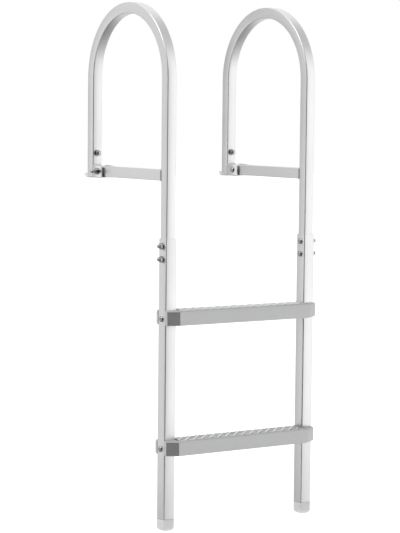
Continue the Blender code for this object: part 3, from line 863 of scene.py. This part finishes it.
def domed_bolt(length, thread):
    """A bolt with its head's flat face on z = 0 and its shank along +Z; length is the shank's."""
    root = BOLT_RADIUS - THREAD_DEPTH
    state = {"height": length, "radius": root}
    piece = begin(bpy.ops.mesh.primitive_circle_add, "bolt", vertices=ROUND_STEPS, radius=root,
                  fill_type="NGON", location=(0, 0, length))
    push(length - THREAD_DEPTH, BOLT_RADIUS, state)
    turns = int(thread / THREAD_PITCH)
    for turn in range(turns):
        top = length - THREAD_DEPTH - turn * THREAD_PITCH
        push(top - THREAD_PITCH * 0.45, root, state)
        push(top - THREAD_PITCH * 0.55, root, state)
        push(top - THREAD_PITCH * 0.95, BOLT_RADIUS, state)
    push(0, BOLT_RADIUS, state)
    push(0, HEAD_SEAT, state)
    push(-BOLT_HEAD_HEIGHT * RIM_START, BOLT_HEAD_RADIUS, state)
    push(-BOLT_HEAD_HEIGHT * RIM_END, BOLT_HEAD_RADIUS, state)
    for step in range(1, HEAD_STEPS):
        angle = step * pi / 2 / HEAD_STEPS
        height = RIM_END + (1 - RIM_END) * sin(angle)
        push(-BOLT_HEAD_HEIGHT * height, BOLT_HEAD_RADIUS * cos(angle), state)
    close_up(piece)
    return piece


# %% [markdown]
# The nut is a hexagon, trimmed by a rounded barrel so that its corners are chamfered as a real nut's are,
# with a round collar that holds the locking ring. The washer is a flat ring with softened edges.

# %% Nut, washer and spacer
NUT_FLATS = 0.013
NUT_CHAMFER = 0.0007
NUT_SHOULDER = 0.7
BARREL_SHARE = 0.985
COLLAR_RADIUS = 0.45 * NUT_FLATS
COLLAR_START = 0.8
COLLAR_ROUND = 0.0009
NUT_HOLE = BOLT_RADIUS + 0.0002
RING_RADIUS = 0.008
RING_HOLE = BOLT_RADIUS + FIT_GAP
RING_EDGE = 0.00025


def cylinder(name, radius, low, high, vertices=48):
    """A cylinder on the Z axis, open in edit mode."""
    return begin(bpy.ops.mesh.primitive_cylinder_add, name, vertices=vertices, radius=radius,
                 depth=high - low, location=(0, 0, (low + high) / 2))


def lock_nut(height):
    """A lock nut that sits on z = 0 with its collar up."""
    corner = NUT_FLATS / 2 / cos(pi / 6)
    shoulder = height * NUT_SHOULDER
    piece = cylinder("nut", corner, 0, shoulder, vertices=6)
    barrel = cylinder("barrel", corner * BARREL_SHARE, 0, shoulder)
    pick(barrel, "EDGE", lambda edge: abs(edge.verts[0].co.z - edge.verts[1].co.z) < NEAR)
    bpy.ops.mesh.bevel(offset=NUT_CHAMFER, segments=2, affect="EDGES")
    carve(piece, barrel, "INTERSECT")
    collar = cylinder("collar", COLLAR_RADIUS, shoulder * COLLAR_START, height)
    pick(collar, "EDGE", lambda edge: middle(edge).z > height - NEAR)
    bpy.ops.mesh.bevel(offset=COLLAR_ROUND, segments=4, affect="EDGES")
    carve(piece, collar, "UNION")
    carve(piece, cylinder("hole", NUT_HOLE, -CUT_PAST, height + CUT_PAST))
    return piece


def flat_ring(thickness):
    """A washer or spacer that lies on z = 0."""
    piece = cylinder("ring", RING_RADIUS, 0, thickness)
    carve(piece, cylinder("hole", RING_HOLE, -CUT_PAST, thickness + CUT_PAST))
    soften(piece, RING_EDGE)
    return piece


# %% [markdown]
# A measured fastener's box says where its axis lies. The joint's direction, from the bolt's head towards its
# nut, is all that has to be stated: tread bolts point inwards, sleeve and bracket bolts point outwards, and
# the bolt through a rear leg points forwards.

# %% Place every fastener
AXES = {"inward": lambda sign: Vector((-sign, 0, 0)),
        "outward": lambda sign: Vector((sign, 0, 0)),
        "forward": lambda sign: Vector((0, -1, 0))}
JOINTS = {"top_sleeve": "outward", "second_sleeve": "outward", "upper_tread": "inward",
          "lower_tread": "inward", "leg": "forward", "bracket": "outward"}
USUAL_THREAD = 0.012
LONG_THREADS = {"bracket": 0.018}


def axis_frame(node, direction):
    """The matrix that stands +Z along the direction, with its origin at the near end of the node."""
    low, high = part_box(node)
    centre = (low + high) / 2
    reach = abs((high - low).dot(direction)) / 2
    turn = direction.to_track_quat("Z", "Y").to_matrix().to_4x4()
    return Matrix.Translation(centre - direction * reach) @ turn, reach * 2


def set_copy(master, name, matrix, finish, node):
    """Copies a master piece, with a mesh of its own, to its place on the ladder."""
    mesh = master.data.copy()
    mesh.name = name
    mesh.transform(matrix)
    piece = bpy.data.objects.new(name, mesh)
    bpy.context.collection.objects.link(piece)
    dress(piece, finish, node, smooth_angle=35)


masters = {}


def master_for(kind, size, make):
    """The master of a kind and size, made the first time it is asked for."""
    key = (kind, round(size, 5))
    if key not in masters:
        masters[key] = make()
        to_object_mode()
    return masters[key]


for side, sign in SIDES.items():
    for joint, way in JOINTS.items():
        direction = AXES[way](sign)
        stem = side + "_" + joint
        matrix, length = axis_frame(stem + "_bolt", direction)
        shank = length - BOLT_HEAD_HEIGHT
        thread = LONG_THREADS.get(joint, USUAL_THREAD)
        bolt = master_for("bolt_" + joint, shank, lambda: domed_bolt(shank, thread))
        seat = matrix @ Matrix.Translation((0, 0, BOLT_HEAD_HEIGHT))
        set_copy(bolt, stem + "_domed_bolt", seat, POLISHED, stem + "_bolt")
        matrix, height = axis_frame(stem + "_nut", direction)
        nut = master_for("nut", height, lambda: lock_nut(height))
        set_copy(nut, stem + "_lock_nut", matrix, POLISHED, stem + "_nut")
        matrix, thickness = axis_frame(stem + "_washer", direction)
        washer = master_for("washer", thickness, lambda: flat_ring(thickness))
        set_copy(washer, stem + "_flat_washer", matrix, POLISHED, stem + "_washer")
    for place in ("inner", "outer"):
        node = side + "_" + place + "_bracket_spacer"
        matrix, thickness = axis_frame(node, Vector((1, 0, 0)))
        spacer = master_for("spacer", thickness, lambda: flat_ring(thickness))
        set_copy(spacer, node + "_ring", matrix, PALE_MOULDING, node)

for master in masters.values():
    bpy.data.objects.remove(master, do_unlink=True)

# %% [markdown]
# ## Floor, light and camera
# The ladder is shown as it hangs, clear of a plain white floor. A soft white surround lights it from all
# sides. Metal shows what is around it, so the surround is darker in four places: behind the ladder, which
# tells the left faces of the rails from their fronts; below it, which draws the undersides of the arches;
# in front, which gives the domes of the bolts their dark rims; and high on the right, which shades the front
# of each bend.

# %% Floor
FLOOR_DROP = 0.5
bpy.ops.object.select_all(action="DESELECT")
bpy.ops.mesh.primitive_plane_add(size=60, location=(0, 0, cad_box[0].z - FLOOR_DROP))
floor = bpy.context.object
floor.name = "floor"
floor_material = bpy.data.materials.new("white_floor")
floor_material.use_nodes = True
floor_shader = floor_material.node_tree.nodes["Principled BSDF"]
floor_shader.inputs["Base Color"].default_value = (0.97, 0.97, 0.97, 1)
floor_shader.inputs["Roughness"].default_value = 0.9
floor_shader.inputs["Emission Color"].default_value = (1, 1, 1, 1)
floor_shader.inputs["Emission Strength"].default_value = 0.5
floor.data.materials.append(floor_material)
floor.visible_glossy = False

# %% Surround and lights
world = bpy.data.worlds.new("white_studio")
world.use_nodes = True
bpy.context.scene.world = world
sky = world.node_tree
for old in list(sky.nodes):
    sky.nodes.remove(old)
output = sky.nodes.new("ShaderNodeOutputWorld")
background = sky.nodes.new("ShaderNodeBackground")
background.inputs["Color"].default_value = (1, 1, 1, 1)
direction_of = sky.nodes.new("ShaderNodeTexCoord").outputs["Generated"]


def darker_towards(direction, start, end, level):
    """A brightness that falls from 1 to the level as a ray turns towards the direction."""
    facing = add_node(sky, "ShaderNodeVectorMath", operation="DOT_PRODUCT")
    facing.inputs[1].default_value = Vector(direction).normalized()
    sky.links.new(direction_of, facing.inputs[0])
    return remap(sky, facing.outputs["Value"], start, end, 1.0, level)


DARK_AREAS = [((-0.56, 0.83, 0.0), 0.3, 1.0, 0.45),
              ((0, 0, -1), 0.45, 0.98, 0.12),
              ((-0.41, -0.91, 0.0), 0.62, 0.80, 0.03),
              ((0.56, -0.30, 0.75), 0.78, 0.97, 0.55)]
shade_level = 1.0
for direction, start, end, level in DARK_AREAS:
    shade_level = maths(sky, "MULTIPLY", darker_towards(direction, start, end, level), shade_level)
camera_ray = sky.nodes.new("ShaderNodeLightPath").outputs["Is Camera Ray"]
sky.links.new(maths(sky, "MAXIMUM", shade_level, camera_ray), background.inputs["Strength"])
sky.links.new(background.outputs["Background"], output.inputs["Surface"])


def soft_light(name, place, target, size, power):
    """A large light, wide and tall as its size says, that faces a point and is hidden from the camera."""
    data = bpy.data.lights.new(name, "AREA")
    data.shape = "RECTANGLE"
    data.size, data.size_y = size
    data.energy = power
    light = bpy.data.objects.new(name, data)
    light.location = place
    light.rotation_euler = (Vector(target) - Vector(place)).to_track_quat("-Z", "Y").to_euler()
    light.visible_camera = False
    bpy.context.collection.objects.link(light)


soft_light("key", (2.4, -3.2, 0.4), (0, 0, -0.2), (2.0, 5.0), 14)
soft_light("left_edge", (-0.95, 1.15, -0.1), (-0.2, 0.0, -0.1), (0.5, 2.4), 1.8)
soft_light("bolt_sparkle", (-2.2, 0.2, 2.2), (0, 0, -0.1), (1.4, 1.4), 20)

# %% Camera
CAMERA_PLACE = Vector((-2.7526, -3.8976, 0.1842))
CAMERA_AZIMUTH = radians(-34.165)
CAMERA_ELEVATION = radians(4.606)
CAMERA_ROLL = radians(0.588)
camera_data = bpy.data.cameras.new("camera")
camera_data.lens = 138.27
camera_data.sensor_width = 36
camera_data.clip_end = 100
camera = bpy.data.objects.new("camera", camera_data)
back = Vector((sin(CAMERA_AZIMUTH) * cos(CAMERA_ELEVATION), -cos(CAMERA_AZIMUTH) * cos(CAMERA_ELEVATION),
               sin(CAMERA_ELEVATION)))
right = Vector((cos(CAMERA_AZIMUTH), sin(CAMERA_AZIMUTH), 0))
up = back.cross(right)
rolled_right = right * cos(CAMERA_ROLL) + up * sin(CAMERA_ROLL)
rolled_up = up * cos(CAMERA_ROLL) - right * sin(CAMERA_ROLL)
turned = Matrix((rolled_right, rolled_up, back)).transposed().to_4x4()
camera.matrix_world = Matrix.Translation(CAMERA_PLACE) @ turned
bpy.context.collection.objects.link(camera)
bpy.context.scene.camera = camera
bpy.context.scene.view_settings.view_transform = "Standard"
